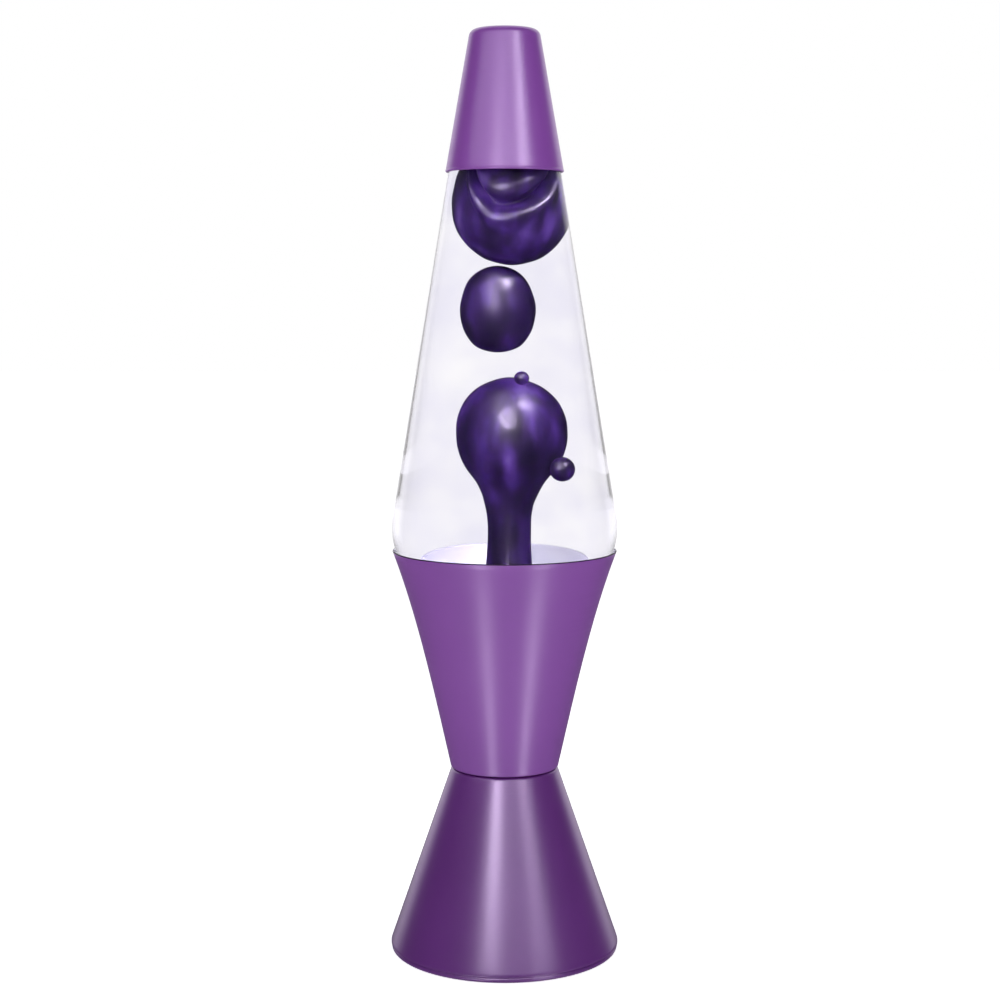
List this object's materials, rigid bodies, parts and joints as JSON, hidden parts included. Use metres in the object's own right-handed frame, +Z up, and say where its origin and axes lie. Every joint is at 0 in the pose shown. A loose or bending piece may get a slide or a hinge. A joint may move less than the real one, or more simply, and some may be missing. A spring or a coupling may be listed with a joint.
{
  "type": "lava lamp",
  "caption": "Table lamp with a tapered glass bottle of clear liquid and drifting wax, standing in an hourglass metal base under a metal cap, with a screw-in bulb below.",
  "frame": {"origin": "on the table, on the lamp's axis, level with the bottoms of the feet", "axes": "+Z up the lamp's axis; +Y towards the rear, where the cord inlet is; -Y is the front"},
  "size_m": [0.0922, 0.0922, 0.3683],
  "materials": {
    "satin_purple_metal": "purple satin lacquer over spun metal",
    "brushed_purple_metal": "purple lacquer over metal with fine turning lines, glossy",
    "black_rubber": "matt moulded",
    "zinc_steel": "zinc plated",
    "brass": "bright",
    "phenolic": "moulded phenolic",
    "black_plastic": "moulded, fine grain",
    "nickel": "rolled nickel-plated sheet",
    "black_glass": "black insulating glass",
    "bulb_glass": "clear",
    "tungsten": "drawn wire",
    "clear_glass": "clear, polished",
    "tinplate": "tinplate",
    "liner": "soft sealing disc",
    "clear_liquid": "clear liquid",
    "purple_wax": "pearlescent wax"
  },
  "bodies": {
    "base": {"lower_cone": "brushed_purple_metal", "upper_cone": "satin_purple_metal", "cord_grommet": "black_rubber", "socket_bracket": "zinc_steel", "bracket_screw_1": "zinc_steel", "bracket_screw_2": "zinc_steel", "bracket_nut_1": "zinc_steel", "bracket_nut_2": "zinc_steel", "socket_nipple": "zinc_steel", "lock_washer": "zinc_steel", "nipple_nut": "brass", "socket_body": "phenolic", "socket_shell": "brass", "socket_contact": "brass", "terminal_screw_1": "brass", "terminal_screw_2": "brass", "bottom_cover": "black_plastic", "foot_1": "black_rubber", "foot_2": "black_rubber", "foot_3": "black_rubber", "foot_4": "black_rubber"},
    "bulb_thread": {"bulb_contact": "nickel"},
    "bulb": {"bulb_insulator": "black_glass", "bulb_shell": "nickel", "bulb_glass": "bulb_glass", "bulb_stem": "bulb_glass", "bulb_filament": "tungsten"},
    "bottle": {"glass_bottle": "clear_glass", "crown_cap": "tinplate", "crown_liner": "liner", "heat_coil": "tinplate", "liquid": "clear_liquid", "wax_column": "purple_wax"},
    "cap": {"top_cap": "satin_purple_metal"},
    "drifting_wax": {"wax_top": "purple_wax", "wax_middle": "purple_wax"},
    "small_bead": {"wax_bead_small": "purple_wax"},
    "side_bead": {"wax_bead_side": "purple_wax"}
  },
  "joints": [
    {"name": "bottle_lift", "type": "slide", "parent": "base", "child": "bottle", "axis": [0, 0, 1], "range_m": [0, 0.04]},
    {"name": "cap_lift", "type": "slide", "parent": "bottle", "child": "cap", "axis": [0, 0, 1], "range_m": [0, 0.05]},
    {"name": "bulb_rise", "type": "slide", "parent": "base", "child": "bulb_thread", "axis": [0, 0, 1], "range_m": [0, 0.00726]},
    {"name": "bulb_turn", "type": "hinge", "parent": "bulb_thread", "child": "bulb", "pos_m": [0, 0, 0.0645], "axis": [0, 0, 1], "range_deg": [0, 1440]},
    {"name": "wax_drift", "type": "slide", "parent": "bottle", "child": "drifting_wax", "axis": [0, 0, 1], "range_m": [-0.008, 0]},
    {"name": "small_bead_rise", "type": "slide", "parent": "bottle", "child": "small_bead", "axis": [0, 0, 1], "range_m": [0, 0.03]},
    {"name": "side_bead_rise", "type": "slide", "parent": "bottle", "child": "side_bead", "axis": [0, 0, 1], "range_m": [0, 0.025]}
  ],
  "couplings": [
    {"joint": "bulb_rise", "follows": "bulb_turn", "m_per_rad": 0.00028871}
  ]
}
